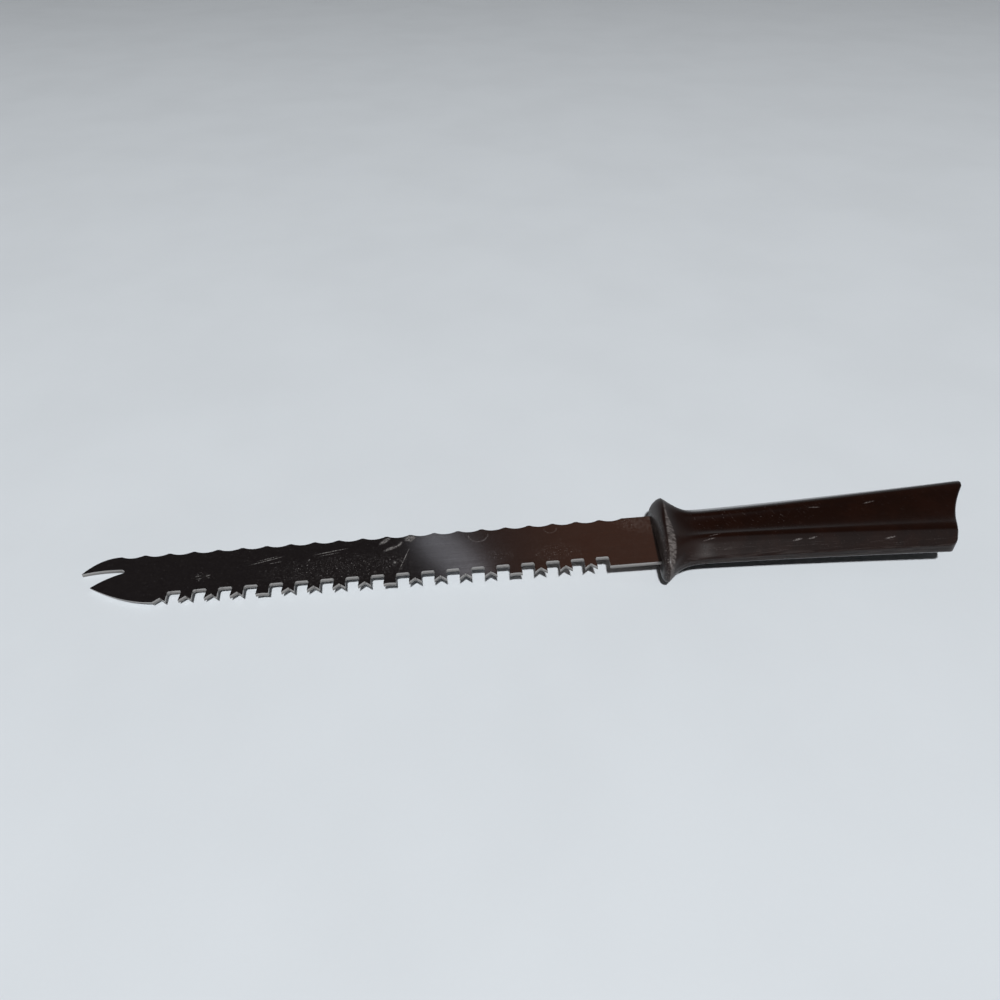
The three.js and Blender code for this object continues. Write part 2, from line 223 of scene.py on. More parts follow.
class HandleSizes(bpy.types.PropertyGroup):
    """The two moulded halves of the handle."""

    length: size("Length", "From the blade to the butt's far corner", 128.9)
    collar_width: size("Collar width", "Of the front face round the blade", 32)
    collar_thickness: size("Collar thickness", "Of the front face round the blade", 6)
    collar_slant: angle("Collar slant", "Lean of the front face in plan", 3)
    guard_width: size("Guard width", "Across the guard", 39.8)
    guard_thickness: size("Guard thickness", "Through the guard before wear", 17.8)
    guard_crest: size("Guard crest", "From the front face to the guard's crest", 3.4)
    guard_slant: angle("Guard slant", "Lean of the guard's crest in plan", 7)
    guard_side: size("Guard side", "Upright part of the guard's side", 0.75)
    crest_wear: size("Crest wear", "Height rubbed off the guard's crest", 0.3)
    wear_softness: size("Wear softness", "Rounding at the rim of the worn crest", 0.06)
    waist_setback: size("Waist setback", "From the front face to the waist", 18)
    waist_width: size("Waist width", "Across the waist", 27.7)
    waist_thickness: size("Waist thickness", "Through the waist", 12.6)
    waist_side: size("Waist side", "Upright part of the side at the waist", 1.5)
    waist_facet: size("Waist facet", "Width of the slope from side to ridge at the waist", 6.8)
    butt_width: size("Butt width", "Across the butt", 36.5)
    butt_thickness: size("Butt thickness", "Through the butt", 12)
    butt_side: size("Butt side", "Upright part of the side at the butt", 2.1)
    butt_facet: size("Butt facet", "Width of the slope from side to ridge at the butt", 4.3)
    butt_slant: angle("Butt slant", "Lean of the butt in plan", 29.2)
    butt_hollow: size("Butt hollow", "Hollow of the butt's end", 1.5)
    butt_round: size("Butt round", "Round corner on the toothed side", 2)
    butt_corner: size("Butt corner", "Round corner on the scalloped side", 8)
    dish_depth: size("Dish depth", "Hollow of the broad faces of the grip", 1.9)
    side_round: share("Side round", "Share of side and facet taken by the rounding between them", 0.4)
    ridge_round: share("Ridge round", "Share of facet and face taken by the ridge's rounding", 0.35)
    guard_round: share("Guard round", "Roundness of the guard's section", 0.97)
    flare_ease: number("Flare ease", "How fast the guard falls to the waist", 2.7)
    grip_swell: number("Grip swell", "How late the grip widens", 1.27)
    seam_gap: size("Seam gap", "Between the two halves", 0.08)
    slot_gap: size("Slot gap", "Round the blade and tang", 0.1)
    rim_round: size("Rim round", "Rounding of the butt's rim", 0.7)
    pin_diameter: size("Pin diameter", "Of the tang's pins", 4)
    pin_length: size("Pin length", "Of the tang's pins", 6)


class FinishColours(bpy.types.PropertyGroup):
    """Colours of the finishes."""

    steel: colour("Steel", "Rolled face of the blade", 0.46, 0.44, 0.435)
    # Painted warm reflection: the brown that the heel's steel gets in its colour
    warm_reflection: colour("Tarnish", "Brown bloom on the blade's heel", 0.36, 0.25, 0.20)
    residue: colour("Residue", "Dull marks and smears on the blade", 0.25, 0.24, 0.23)
    sheared: colour("Sheared steel", "Bright upper part of a stamped wall", 0.40, 0.38, 0.365)
    torn: colour("Torn steel", "Dull lower part of a stamped wall", 0.20, 0.195, 0.19)
    ground: colour("Ground steel", "Hollow ground scallops and the belly's bevel", 0.60, 0.60, 0.60)
    pin: colour("Pin steel", "Drawn wire of the pins", 0.55, 0.54, 0.53)
    plastic: colour("Plastic", "Moulded handle", 0.0062, 0.0020, 0.0012)
    plastic_red: colour("Red plastic", "Warm clouds in the moulding", 0.0085, 0.0026, 0.0014)
    # Pale plastic of wear, also used for the painted highlight lines along the seam
    wear_and_sheen: colour("Scuffed plastic", "Rubbed and scratched plastic", 0.135, 0.12, 0.115)
    floor: colour("Floor", "Plain pale floor", 0.665, 0.708, 0.746)


class StageSizes(bpy.types.PropertyGroup):
    """Camera, lamps and floor."""

    camera_place: position("Camera place", "From the horn's point to the camera", 142.2, -219.85, 213.4)
    camera_pitch: angle("Camera pitch", "How far the camera looks down", 40.25)
    camera_yaw: angle("Camera yaw", "How far the camera looks towards the butt", 4.4)
    lens: number("Lens", "Focal length in millimetres", 28.18, unit="CAMERA")
    sensor: number("Sensor", "Width in millimetres", 36, unit="CAMERA")
    floor_size: size("Floor size", "Side of the square floor", 5000)
    floor_gap: size("Floor gap", "Between the floor and the knife", 0.05)
    lamp_distance: size("Lamp distance", "From the knife to the key lamp", 4000)
    lamp_height: angle("Lamp height", "Height of the key lamp over the floor", 57.5)
    lamp_turn: angle("Lamp turn", "How far the key lamp stands to the left", 3)
    lamp_size: size("Lamp size", "Diameter of the key lamp", 240)
    lamp_power: number("Lamp power", "Of the key lamp", 176, unit="POWER")
    strip_place: position("Strip place", "Middle of the strip lamp that the blade mirrors", -82, 645, 633)
    strip_width: size("Strip width", "Width of the strip lamp", 48)
    strip_height: size("Strip height", "Height of the strip lamp", 125)
    strip_lean: angle("Strip lean", "How far the strip lamp leans to the side", 38)
    strip_power: number("Strip power", "Of the strip lamp", 0.0063, unit="POWER")
    strip_colour: colour("Strip colour", "Cool light of the strip lamp", 0.84, 0.89, 1.0)
    sky: colour("Sky", "Soft light all round", 0.06, 0.061, 0.062)
    backdrop: colour("Backdrop", "Surroundings that the camera and glossy skins see", 0.40, 0.41, 0.42)
    shade: colour("Shade", "Dark wall behind, which the blade mirrors", 0.024, 0.0205, 0.0215)
    glow: colour("Glow", "Warm part of the dark wall", 0.105, 0.062, 0.050)


class KnifeSettings(bpy.types.PropertyGroup):
    """Everything that the panel shows."""

    blade: PointerProperty(name="Blade", description="Sizes of the blade", type=BladeSizes)
    handle: PointerProperty(name="Handle", description="Sizes of the handle", type=HandleSizes)
    finish: PointerProperty(name="Finish", description="Colours of the finishes", type=FinishColours)
    stage: PointerProperty(name="Stage", description="Camera, lamps and floor", type=StageSizes)


def settings():
    return bpy.context.scene.carving_saw


class Link:
    """An output of a node that can stand in sums, and adds the Math nodes that they need."""

    def __init__(self, graph, socket):
        self.graph = graph
        self.socket = socket

    def _math(self, operation, *values):
        return self.graph.add("ShaderNodeMath", {"operation": operation}, dict(enumerate(values)))

    def __add__(self, other):
        return self._math("ADD", self, other)

    def __radd__(self, other):
        return self._math("ADD", other, self)

    def __sub__(self, other):
        return self._math("SUBTRACT", self, other)

    def __rsub__(self, other):
        return self._math("SUBTRACT", other, self)

    def __mul__(self, other):
        return self._math("MULTIPLY", self, other)

    def __rmul__(self, other):
        return self._math("MULTIPLY", other, self)

    def __truediv__(self, other):
        return self._math("DIVIDE", self, other)

    def __rtruediv__(self, other):
        return self._math("DIVIDE", other, self)

    def __mod__(self, other):
        return self._math("MODULO", self, other)

    def __pow__(self, other):
        return self._math("POWER", self, other)

    def __abs__(self):
        return self._math("ABSOLUTE", self)

    def __gt__(self, other):
        return self._math("GREATER_THAN", self, other)

    def __lt__(self, other):
        return self._math("LESS_THAN", self, other)

    def largest(self, other):
        return self._math("MAXIMUM", self, other)

    def fade(self, start, end):
        """0 at start and before it, 1 at end and past it, with a smooth step between."""
        stops = {"Value": self, "From Min": start, "From Max": end}
        return self.graph.add("ShaderNodeMapRange", {"interpolation_type": "SMOOTHSTEP"}, stops)

    def part(self, axis):
        return self.graph.add("ShaderNodeSeparateXYZ", {}, {"Vector": self}, axis)


class Graph:
    """A node tree under construction."""

    def __init__(self, tree):
        self.tree = tree

    def add(self, kind, choices, values, output=0):
        """A new node with its settings, then its sockets, and one of its outputs."""
        node = self.tree.nodes.new(kind)
        for name, choice in choices.items():
            setattr(node, name, choice)
        for name, value in values.items():
            for single in value if isinstance(value, list) else [value]:
                self.feed(node.inputs[name], single)
        return Link(self, node.outputs[output]) if node.outputs else node

    def feed(self, socket, value):
        if isinstance(value, Link):
            self.tree.links.new(value.socket, socket)
        else:
            socket.default_value = value

    def vector(self, x, y, z):
        return self.add("ShaderNodeCombineXYZ", {}, {"X": x, "Y": y, "Z": z})

    def tint(self, amount, under, over):
        """One colour turning into another."""
        colours = {0: amount, 6: opaque(under), 7: opaque(over)}
        return self.add("ShaderNodeMix", {"data_type": "RGBA"}, colours, 2)

    def noise(self, point, scale, detail=2.0, roughness=0.5):
        values = {"Vector": point, "Scale": scale, "Detail": detail, "Roughness": roughness}
        return self.add("ShaderNodeTexNoise", {}, values)

    def lines(self, point, scales, detail=3.0, roughness=0.6):
        """Noise drawn out into lines."""
        stretched = self.add("ShaderNodeMapping", {}, {"Vector": point, "Scale": scales})
        return self.noise(stretched, 1.0, detail, roughness)


def opaque(value):
    """A colour property as a socket takes it."""
    return value if isinstance(value, Link) else (*value, 1)


def rest_angle():
    """How far the knife leans when it lies on the point of its horn and on the guard's worn crest."""
    blade = settings().blade
    handle = settings().handle
    rise = handle.guard_thickness / 2 - handle.crest_wear - blade.thickness / 2
    return math.atan2(rise, handle.guard_crest + blade.length)


def lay_down():
    """The turn and the shift that put the knife's own axes where the solids lie."""
    blade = settings().blade
    turn = Matrix.Rotation(-rest_angle(), 4, "Y")
    above = turn @ Vector((-blade.length, 0, blade.thickness / 2))
    below = turn @ Vector((-blade.length, 0, -blade.thickness / 2))
    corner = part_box("blade")[0]
    return Matrix.Translation((corner.x - above.x, 0, corner.z - below.z)) @ turn


def curve_point(start, bend, end, t):
    """A point of a quadratic curve, at a share of the way."""
    return (1 - t) ** 2 * start + 2 * t * (1 - t) * bend + t * t * end


def curve(start, bend, end, steps=CURVE_STEPS):
    """Points of a quadratic curve, without its first one."""
    return [curve_point(start, bend, end, step / steps) for step in range(1, steps + 1)]


def flat(x, y):
    return Vector((x, y))


def new_object(name, mesh):
    made = bpy.data.objects.new(name, mesh)
    bpy.context.scene.collection.objects.link(made)
    return made


def settle_mesh(made):
    """Turns an object's live modifiers into a plain mesh."""
    graph = bpy.context.evaluated_depsgraph_get()
    mesh = bpy.data.meshes.new_from_object(made.evaluated_get(graph))
    made.modifiers.clear()
    made.data = mesh
    return mesh


def prism(name, outline, low, high, lean=0.0):
    """A closed solid over an outline, which may lean along Y as it rises."""
    form = bmesh.new()
    under = [form.verts.new((point.x, point.y, low)) for point in outline]
    shift = lean * (high - low)
    upper = [form.verts.new((point.x, point.y + shift, high)) for point in outline]
    form.faces.new(upper)
    form.faces.new(reversed(under))
    for k, corner in enumerate(under):
        after = (k + 1) % len(under)
        form.faces.new((corner, under[after], upper[after], upper[k]))
    bmesh.ops.recalc_face_normals(form, faces=form.faces)
    mesh = bpy.data.meshes.new(name)
    form.to_mesh(mesh)
    form.free()
    return new_object(name, mesh)


def tooth_count(blade):
    return math.floor((blade.length - blade.heel_length - blade.belly_length) / blade.tooth_pitch)


def scallop_count(blade):
    plain = blade.horn_length + blade.scallop_stop
    return math.floor((blade.length - plain) / blade.scallop_pitch)


def row_front(blade):
    """Where the first tooth starts."""
    return -blade.heel_length - tooth_count(blade) * blade.tooth_pitch


def spear_point(blade):
    return flat(blade.spear_setback - blade.length, blade.width / 2 - blade.spear_drop)


def belly_curve(blade):
    """The curved edge from the first tooth to the spear's point."""
    start = flat(row_front(blade), -blade.width / 2)
    spear = spear_point(blade)
    along, across = BELLY_BEND
    x = spear.x + (start.x - spear.x) * along
    y = spear.y + (start.y - spear.y) * across - blade.belly_bulge
    return [start] + curve(start, flat(x, y), spear)


def fork_curve(blade):
    """The gap of the fork, from the spear's point round its root to the horn's point."""
    tip = -blade.length
    edge = blade.width / 2
    root = tip + blade.fork_depth
    middle = edge - blade.fork_drop
    mouth = root - blade.fork_round * math.sqrt(2)
    spear = spear_point(blade)
    back = flat(mouth, middle - blade.fork_round)
    along, across = SPEAR_SWELL
    swell = flat(spear.x + (mouth - spear.x) * along, spear.y + (back.y - spear.y) * across)
    deepest = flat(root, middle)
    inner = flat(mouth, edge - blade.horn_width)
    arch = flat(tip + (mouth - tip) * HORN_ARCH_PLACE, inner.y + blade.horn_arch)
    horn = flat(tip, edge - blade.horn_drop)
    points = curve(spear, swell, back)
    points += curve(back, flat(root, middle - blade.fork_round / 2), deepest)
    points += curve(deepest, flat(root, (middle + 2 * inner.y) / 3), inner)
    return points + curve(inner, arch, horn)[:-1]


def tang_end(blade, grow):
    """The shoulder and the round-ended tang, from the scalloped side round to the toothed side."""
    edge = blade.width / 2 + grow
    half = blade.tang_width / 2 + grow
    shoulder = blade.shoulder_depth + grow
    middle = blade.tang_length + grow - half
    turns = [math.pi * (0.5 - step / ROUND_SIDES) for step in range(ROUND_SIDES + 1)]
    rounded = [flat(middle + half * math.cos(turn), half * math.sin(turn)) for turn in turns]
    front = [flat(shoulder, edge), flat(shoulder, half)]
    return front + rounded + [flat(shoulder, -half), flat(shoulder, -edge)]


def blank_outline(blade):
    """The strip before its teeth are punched and its scallops ground."""
    edge = blade.width / 2
    horn = flat(-blade.length, edge - blade.horn_drop)
    shoulder = flat(blade.horn_length - blade.length, edge)
    bend = flat(blade.horn_length * HORN_BEND - blade.length, edge)
    outline = [horn] + curve(horn, bend, shoulder)
    return outline + tang_end(blade, 0) + belly_curve(blade) + fork_curve(blade)


def loop_object(name, outline):
    """A closed line of edges."""
    count = len(outline)
    mesh = bpy.data.meshes.new(name)
    corners = [(point.x, point.y, 0) for point in outline]
    mesh.from_pydata(corners, [(k, (k + 1) % count) for k in range(count)], [])
    return new_object(name, mesh)


def belly_grinder(blade):
    """What is ground off under the belly: all outside its curve, leaning in as it goes down."""
    edge = blade.width / 2
    curved = belly_curve(blade)
    spear = curved[-1]
    front = spear.x - edge
    outside = [flat(front, spear.y), flat(front, -blade.width), flat(curved[0].x, -blade.width)]
    land = blade.thickness / 2 - blade.belly_land
    slope = 1 / math.tan(blade.grind_angle)
    outline = curved + outside
    lowered = [flat(point.x, point.y + blade.thickness * slope) for point in outline]
    return prism("belly_grinder", lowered, land - blade.thickness, land, -slope)


class BladeTree:
    """The Geometry Nodes tree that raises, punches and grinds the blade from its outline."""

    def __init__(self, name):
        self.tree = bpy.data.node_groups.new(name, "GeometryNodeTree")
        self.graph = Graph(self.tree)
        self.inputs = {}
        self.tree.interface.new_socket("Geometry", in_out="INPUT", socket_type="NodeSocketGeometry")
        self.tree.interface.new_socket("Geometry", in_out="OUTPUT", socket_type="NodeSocketGeometry")

    def declare(self, kind, values):
        """Named inputs of one kind, whose values the modifier gets later."""
        for name, value in values.items():
            socket = self.tree.interface.new_socket(name, in_out="INPUT", socket_type=kind)
            self.inputs[name] = (socket.identifier, value)

    def open(self):
        """The group's inputs as links."""
        source = self.tree.nodes.new("NodeGroupInput")
        return {socket.name: Link(self.graph, socket) for socket in source.outputs if socket.name}

    def fit(self, made):
        """Puts the tree on an object and sets its inputs."""
        modifier = made.modifiers.new(self.tree.name, "NODES")
        modifier.node_group = self.tree
        for identifier, value in self.inputs.values():
            modifier[identifier] = value

    def plate(self, outline, thickness):
        """A closed curve raised evenly to both sides of the middle plane."""
        graph = self.graph
        face = graph.add("GeometryNodeFillCurve", {"mode": "NGONS"}, {"Curve": outline})
        raised = graph.add("GeometryNodeExtrudeMesh", {}, {"Mesh": face, "Offset Scale": thickness})
        under = graph.add("GeometryNodeFlipFaces", {}, {"Mesh": face})
        both = graph.add("GeometryNodeJoinGeometry", {}, {"Geometry": [raised, under]})
        closed = graph.add("GeometryNodeMergeByDistance", {}, {"Geometry": both, "Distance": MERGE_GAP})
        return self.moved(closed, graph.vector(0, 0, thickness * -0.5))

    def moved(self, geometry, place, turn=(0, 0, 0)):
        values = {"Geometry": geometry, "Translation": place, "Rotation": turn}
        return self.graph.add("GeometryNodeTransform", {}, values)

    def punch(self, widths, depth, radius, edge, thickness):
        """A tapered punch with round corners that reaches a depth into the toothed edge.

        Its widths are those at the edge and at the head.
        """
        graph = self.graph
        at_edge, at_head = widths
        spread = (at_edge - at_head) * (CUT_MARGIN / depth)
        sides = {
            "Height": depth + CUT_MARGIN,
            "Bottom Width": at_edge + spread,
            "Top Width": at_head,
            "Offset": 0.0,
        }
        drawn = graph.add("GeometryNodeCurvePrimitiveQuadrilateral", {"mode": "TRAPEZOID"}, sides)
        corners = {"Curve": drawn, "Count": CORNER_STEPS, "Radius": radius, "Limit Radius": True}
        rounded = graph.add("GeometryNodeFilletCurve", {"mode": "POLY"}, corners)
        middle = (depth - CUT_MARGIN) * 0.5 - edge
        solid = self.plate(rounded, thickness * CUTTER_THICKNESS)
        return self.moved(solid, graph.vector(0, middle, 0))

    def cylinder(self, radius, length, sides):
        values = {"Vertices": sides, "Radius": radius, "Depth": length}
        return self.graph.add("GeometryNodeMeshCylinder", {}, values)

    def row(self, shape, count, first, pitch, chosen=True):
        """Copies of a shape along the blade."""
        graph = self.graph
        start = graph.vector(first, 0, 0)
        step = graph.vector(pitch, 0, 0)
        places = {"Count": count, "Start Location": start, "Offset": step}
        line = graph.add("GeometryNodeMeshLine", {}, places)
        values = {"Points": line, "Instance": shape, "Selection": chosen}
        return graph.add("GeometryNodeInstanceOnPoints", {}, values)

    def cut(self, solid, cutters):
        values = {"Mesh 1": solid, "Mesh 2": cutters}
        choices = {"operation": "DIFFERENCE", "solver": "EXACT"}
        return self.graph.add("GeometryNodeMeshBoolean", choices, values)

    def paint(self, geometry, material, chosen=True):
        values = {"Geometry": geometry, "Material": material, "Selection": chosen}
        return self.graph.add("GeometryNodeSetMaterial", {}, values)

    def close(self, geometry):
        sink = self.tree.nodes.new("NodeGroupOutput")
        self.tree.links.new(geometry.socket, sink.inputs[0])


def blade_inputs(blade):
    """The sizes that the blade's tree works from, under the names of its inputs."""
    wheel_bite = blade.scallop_depth * math.sin(blade.grind_angle)
    wheel_reach = (blade.scallop_pitch - blade.scallop_crest) / 2
    return {
        "Thickness": blade.thickness,
        "Edge": blade.width / 2,
        "Row Front": row_front(blade),
        "Tooth Pitch": blade.tooth_pitch,
        "Tooth Height": blade.tooth_height,
        "Tooth Tip": blade.tooth_tip,
        "Tooth Root": blade.tooth_root,
        "Gullet Radius": blade.gullet_radius,
        "Notch Depth": blade.notch_depth,
        "Notch Head": blade.notch_head,
        "Notch Round": blade.notch_round,
        "Raker Hollow": blade.raker_hollow,
        "Scallop First": blade.horn_length + blade.scallop_pitch / 2 - blade.length,
        "Scallop Pitch": blade.scallop_pitch,
        "Scallop Depth": blade.scallop_depth,
        "Wheel Radius": (wheel_reach ** 2 + wheel_bite ** 2) / (2 * wheel_bite),
        "Wheel Length": blade.width * 2,
        "Grind Angle": blade.grind_angle,
    }


def blade_tree(blade, grinder, finishes):
    """Builds the tree and keeps its inputs' values."""
    made = BladeTree("saw_blade")
    made.declare("NodeSocketFloat", blade_inputs(blade))
    counts = {
        "Tooth Count": tooth_count(blade),
        "Raker Every": blade.raker_every,
        "Scallop Count": scallop_count(blade),
    }
    made.declare("NodeSocketInt", counts)
    made.declare("NodeSocketObject", {"Belly Grinder": grinder})
    made.declare("NodeSocketMaterial", finishes)
    given = made.open()
    graph = made.graph
    edge = given["Edge"]
    thickness = given["Thickness"]
    pitch = given["Tooth Pitch"]
    tip = given["Tooth Tip"]

    blank = made.plate(graph.add("GeometryNodeMeshToCurve", {}, {"Mesh": given["Geometry"]}), thickness)

    widths = (pitch - tip, pitch - given["Tooth Root"])
    gullet = made.punch(widths, given["Tooth Height"], given["Gullet Radius"], edge, thickness)
    gullets = made.row(gullet, given["Tooth Count"], given["Row Front"] + (pitch + tip) * 0.5, pitch)

    crowns = given["Row Front"] + tip * 0.5
    order = graph.add("GeometryNodeInputIndex", {}, {})
    raker = ((order + 1) % given["Raker Every"]) < NO_REMAINDER
    widths = (tip * CROWN_SHARE, given["Notch Head"])
    notch = made.punch(widths, given["Notch Depth"], given["Notch Round"], edge, thickness)
    notches = made.row(notch, given["Tooth Count"], crowns, pitch, 1 - raker)
    hollow = given["Raker Hollow"]
    reach = tip * (CROWN_SHARE / 2)
    radius = (reach * reach + hollow * hollow) / (hollow * 2)
    roller = made.cylinder(radius, thickness * CUTTER_THICKNESS, WHEEL_SIDES)
    roller = made.moved(roller, graph.vector(0, hollow - radius - edge, 0))
    hollows = made.row(roller, given["Tooth Count"], crowns, pitch, raker)

    wheel_radius = given["Wheel Radius"]
    sine = graph.add("ShaderNodeMath", {"operation": "SINE"}, {0: given["Grind Angle"]})
    cosine = graph.add("ShaderNodeMath", {"operation": "COSINE"}, {0: given["Grind Angle"]})
    out = edge - given["Scallop Depth"] + wheel_radius * sine
    down = thickness * 0.5 - wheel_radius * cosine
    wheel = made.cylinder(wheel_radius, given["Wheel Length"], WHEEL_SIDES)
    lean = graph.vector(given["Grind Angle"] - math.pi / 2, 0, 0)
    wheel = made.moved(wheel, graph.vector(0, out, down), lean)
    wheels = made.row(wheel, given["Scallop Count"], given["Scallop First"], given["Scallop Pitch"])

    belly = graph.add("GeometryNodeObjectInfo", {}, {"Object": given["Belly Grinder"]}, "Geometry")
    punched = made.cut(made.cut(blank, [gullets]), [notches, hollows])
    ground = made.cut(made.cut(punched, [belly]), [wheels])
    whole = graph.add("GeometryNodeRealizeInstances", {}, {"Geometry": ground})

    upward = graph.add("GeometryNodeInputNormal", {}, {}).part("Z")
    painted = made.paint(whole, given["Cut Steel"])
    painted = made.paint(painted, given["Ground Steel"], upward < GROUND_NORMAL)
    painted = made.paint(painted, given["Face Steel"], abs(upward) > FACE_NORMAL)
    made.close(painted)
    return made


def bore(made, places, radius, length):
    """Cuts round holes across the middle plane of a finished mesh."""
    turns = [2 * math.pi * side / ROUND_SIDES for side in range(ROUND_SIDES)]
    for place in places:
        outline = [flat(place + radius * math.cos(turn), radius * math.sin(turn)) for turn in turns]
        cut_out(made, prism("bore", outline, -length / 2, length / 2))


def cut_out(made, cutter):
    """Cuts one solid out of another and removes the cutter."""
    modifier = made.modifiers.new("cut", "BOOLEAN")
    modifier.operation = "DIFFERENCE"
    modifier.solver = "EXACT"
    modifier.object = cutter
    settle_mesh(made)
    bpy.data.objects.remove(cutter)


def smooth_by_angle(mesh, degrees):
    mesh.shade_smooth()
    mesh.set_sharp_from_angle(angle=math.radians(degrees))


def pin_places():
    """Where the pins' solids stand along the knife."""
    back = lay_down().inverted()
    middles = [sum(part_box(name), Vector()) / 2 for name in ("tang_pin_front", "tang_pin_rear")]
    return [(back @ middle).x for middle in middles]


def make_blade():
    blade = settings().blade
    handle = settings().handle
    finishes = {"Face Steel": face_steel(), "Cut Steel": cut_steel(), "Ground Steel": ground_steel()}
    made = loop_object("saw_blade", blank_outline(blade))
    grinder = belly_grinder(blade)
    blade_tree(blade, grinder, finishes).fit(made)
    mesh = settle_mesh(made)
    if not mesh.polygons:
        raise RuntimeError("the blade's tree made no faces")
    bpy.data.objects.remove(grinder)
    hole = handle.pin_diameter / 2 + handle.slot_gap
    bore(made, pin_places(), hole, blade.thickness * CUTTER_THICKNESS)
    smooth_by_angle(made.data, BLADE_SMOOTHING)
    made.data.transform(lay_down())
    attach(made, BODY)
    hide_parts("blade")


def handle_places(handle):
    """The handle's measures at its four named places."""

    def own(part, *kinds):
        return {kind: getattr(handle, f"{part}_{kind}") for kind in kinds}

    plain = {"side": handle.guard_side, "facet": 0, "dish": 0, "round": handle.guard_round}
    ridged = {"dish": handle.dish_depth, "round": handle.ridge_round}
    lean = math.tan(handle.guard_slant)
    return (
        {**plain, **own("collar", "width", "thickness"), "slant": math.tan(handle.collar_slant)},
        {**plain, **own("guard", "width", "thickness"), "slant": lean},
        {**ridged, **own("waist", "width", "thickness", "side", "facet"), "slant": lean},
        {**ridged, **own("butt", "width", "thickness", "side", "facet"), "slant": 0},
    )


def blend(start, end, amount):
    return {key: start[key] + (end[key] - start[key]) * amount for key in start}


class HandleForm:
    """The skin of the handle's upper half as a formula."""

    def __init__(self, handle):
        self.handle = handle
        self.collar, self.guard, self.waist, self.butt = handle_places(handle)
        self.butt_x, self.butt_y = self.butt_line()

    def measures(self, x):
        """The section's measures at a distance behind the front face."""
        handle = self.handle
        if x < handle.guard_crest:
            return blend(self.collar, self.guard, math.sqrt(1 - (1 - x / handle.guard_crest) ** 2))
        if x < handle.waist_setback:
            along = (x - handle.guard_crest) / (handle.waist_setback - handle.guard_crest)
            return blend(self.guard, self.waist, 1 - (1 - along) ** handle.flare_ease)
        along = (x - handle.waist_setback) / (handle.length - handle.waist_setback)
        return blend(self.waist, self.butt, along ** handle.grip_swell)

    def half_width(self, x):
        return self.measures(x)["width"] / 2

    def point(self, x, station, inset=0.0):
        """A point of the skin, or of a skin inset from it.

        The station counts side, rounding, facet, ridge and face from 0 to 5, and down again to 9.
        """
        measures = self.measures(x)
        half = measures["width"] / 2 - inset
        height = measures["thickness"] / 2 - inset
        seam = flat(half, self.handle.seam_gap / 2)
        turn = flat(half, measures["side"])
        ridge = flat(half - measures["facet"], height)
        valley = flat(0, height - measures["dish"])
        wall = turn.lerp(seam, self.handle.side_round)
        foot = turn.lerp(ridge, self.handle.side_round * (1 - measures["round"]))
        brow = ridge.lerp(turn, measures["round"])
        top = ridge.lerp(valley, measures["round"])
        mirror = -1 if station < LAST_STATION / 2 else 1
        run, along = divmod(min(station, LAST_STATION - station), 1)
        runs = (
            (seam, seam.lerp(wall, 0.5), wall),
            (wall, turn, foot),
            (foot, foot.lerp(brow, 0.5), brow),
            (brow, ridge, top),
            (top, valley, flat(-top.x, top.y)),
        )
        place = curve_point(*runs[int(run)], along)
        y = place.x * mirror
        return Vector((x + measures["slant"] * y, y, self.worn(x, place.y)))

    def worn(self, x, height):
        """The height left where a table has rubbed the guard's crest."""
        handle = self.handle
        crest = handle.guard_thickness / 2 - handle.crest_wear
        table = crest + (x - handle.guard_crest) * math.tan(rest_angle())
        over = (height - table) / handle.wear_softness
        if over > FULLY_WORN:
            return table
        return height - handle.wear_softness * math.log1p(math.exp(over))

    def butt_line(self):
        """The butt's plan: slanted, hollow, and rounder at the scalloped side than at the toothed one."""
        handle = self.handle
        lean = math.tan(handle.butt_slant)
        far = self.half_width(handle.length)

        def end_at(y):
            return handle.length - (far - y) * lean

        near = -self.half_width(end_at(-far))
        round_start = end_at(near) - handle.butt_round
        round_end = near + handle.butt_round * math.cos(handle.butt_slant)
        corner_start = far - handle.butt_corner * math.cos(handle.butt_slant)
        corner_end = handle.length - handle.butt_corner
        middle = (round_end + corner_start) / 2
        hollow = flat(-math.cos(handle.butt_slant), math.sin(handle.butt_slant)) * 2 * handle.butt_hollow
        first = flat(round_start, -self.half_width(round_start))
        second = flat(end_at(round_end), round_end)
        third = flat(end_at(corner_start), corner_start)
        last = flat(corner_end, self.half_width(corner_end))
        line = [first] + curve(first, flat(end_at(near), near), second, BUTT_SAMPLES)
        line += curve(second, flat(end_at(middle), middle) + hollow, third, BUTT_SAMPLES)
        line += curve(third, flat(handle.length, far), last, BUTT_SAMPLES)
        return [point.x for point in line], [point.y for point in line]

    def butt_at(self, y):
        return float(np.interp(y, self.butt_y, self.butt_x))

    def trim(self, station, setback, inset=0.0):
        """How far back a line along the skin runs before it comes within a setback of the butt."""
        near = self.handle.waist_setback
        far = self.handle.length + self.handle.butt_round
        for _ in range(BISECTIONS):
            middle = (near + far) / 2
            place = self.point(middle, station, inset)
            if place.x < self.butt_at(place.y) - setback / math.cos(self.handle.butt_slant):
                near = middle
            else:
                far = middle
        return near


def section_stations():
    """Stations round the section, from the seam over the middle of the face to the other seam."""
    half = [run + step / steps for run, steps in enumerate(SECTION_STEPS) for step in range(steps)]
    half = [station for station in half if station <= LAST_STATION / 2]
    return half + [LAST_STATION - station for station in reversed(half[:-1])]


def rows_to(handle, end):
    """Distances of the sections of one line along the skin, up to where it is trimmed."""
    crest = handle.guard_crest
    waist = handle.waist_setback
    dome = [crest * (1 - math.cos(math.pi / 2 * row / DOME_ROWS)) for row in range(DOME_ROWS)]
    flare = [crest + (waist - crest) * (row / FLARE_ROWS) ** FLARE_CROWDING for row in range(FLARE_ROWS)]
    grip = [waist + (end - waist) * row / GRIP_ROWS for row in range(GRIP_ROWS + 1)]
    return dome + flare + grip


